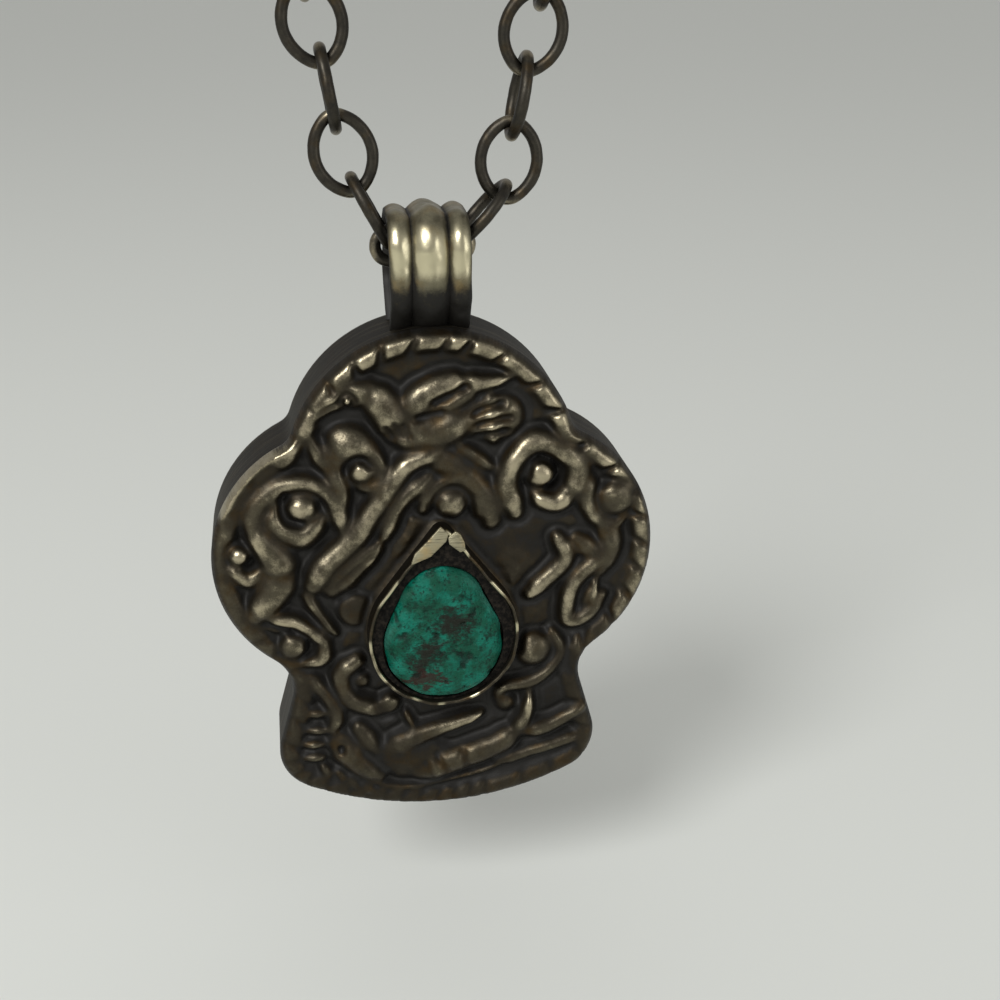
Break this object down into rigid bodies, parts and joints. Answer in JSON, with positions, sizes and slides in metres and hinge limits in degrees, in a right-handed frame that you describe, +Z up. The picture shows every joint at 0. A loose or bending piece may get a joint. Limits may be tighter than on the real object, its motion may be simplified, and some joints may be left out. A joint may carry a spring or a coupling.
{
  "type": "ghau amulet box pendant",
  "caption": "Hollow lobed amulet box with a chased bird-and-scroll face, a set turquoise, a ribbed bail and a lift-off back, hanging on an oval-link chain.",
  "frame": {"origin": "midway between the tops of the two chain ends, where a neck carries them, on the box's middle plane", "axes": "+X to the right seen from the front, +Y towards the wearer (the box's back), +Z up; the ornamented front faces -Y"},
  "size_m": [0.056, 0.0173, 0.1133],
  "materials": {
    "silver": "antiqued white metal, hand chased, dark in the recesses",
    "bail_silver": "worn bright white metal with a warm tint",
    "plain_silver": "plain antiqued white metal, brushed",
    "chain_wire": "darkly oxidised wire, worn brighter at the bends",
    "turquoise": "pitted matrix turquoise, satin",
    "cement": "dark setting lac, matt",
    "paper": "aged handmade paper",
    "thread": "wound cotton thread"
  },
  "bodies": {
    "chain_ends": {"left_link_0": "chain_wire", "right_link_0": "chain_wire"},
    "links_1": {"left_link_1": "chain_wire", "right_link_1": "chain_wire"},
    "links_2": {"left_link_2": "chain_wire", "right_link_2": "chain_wire"},
    "links_3": {"left_link_3": "chain_wire", "right_link_3": "chain_wire"},
    "links_4": {"left_link_4": "chain_wire", "right_link_4": "chain_wire"},
    "centre": {"centre_link": "chain_wire"},
    "ghau": {"side_wall": "silver", "front_cover": "silver", "bail": "bail_silver", "bezel": "silver", "setting_cement": "cement", "turquoise": "turquoise", "prayer_scroll": "paper", "scroll_ties": "thread"},
    "back_lid": {"back_plate": "plain_silver", "lid_flange": "plain_silver"}
  },
  "joints": [
    {"name": "links_1_swing", "type": "hinge", "parent": "chain_ends", "child": "links_1", "pos_m": [0, 0, -0.00736], "axis": [1, 0, 0], "range_deg": [-25, 25]},
    {"name": "links_2_swing", "type": "hinge", "parent": "links_1", "child": "links_2", "pos_m": [0, 0, -0.01629], "axis": [1, 0, 0], "range_deg": [-25, 25]},
    {"name": "links_3_swing", "type": "hinge", "parent": "links_2", "child": "links_3", "pos_m": [0, 0, -0.02201], "axis": [1, 0, 0], "range_deg": [-25, 25]},
    {"name": "links_4_swing", "type": "hinge", "parent": "links_3", "child": "links_4", "pos_m": [0, 0, -0.03093], "axis": [1, 0, 0], "range_deg": [-25, 25]},
    {"name": "centre_swing", "type": "hinge", "parent": "links_4", "child": "centre", "pos_m": [0, 0, -0.03605], "axis": [1, 0, 0], "range_deg": [-5, 5]},
    {"name": "ghau_swing", "type": "hinge", "parent": "centre", "child": "ghau", "pos_m": [0, 0, -0.03448], "axis": [1, 0, 0], "range_deg": [-10, 10]},
    {"name": "lid_slide", "type": "slide", "parent": "ghau", "child": "back_lid", "axis": [0, 1, 0], "range_m": [0, 0.025]}
  ]
}
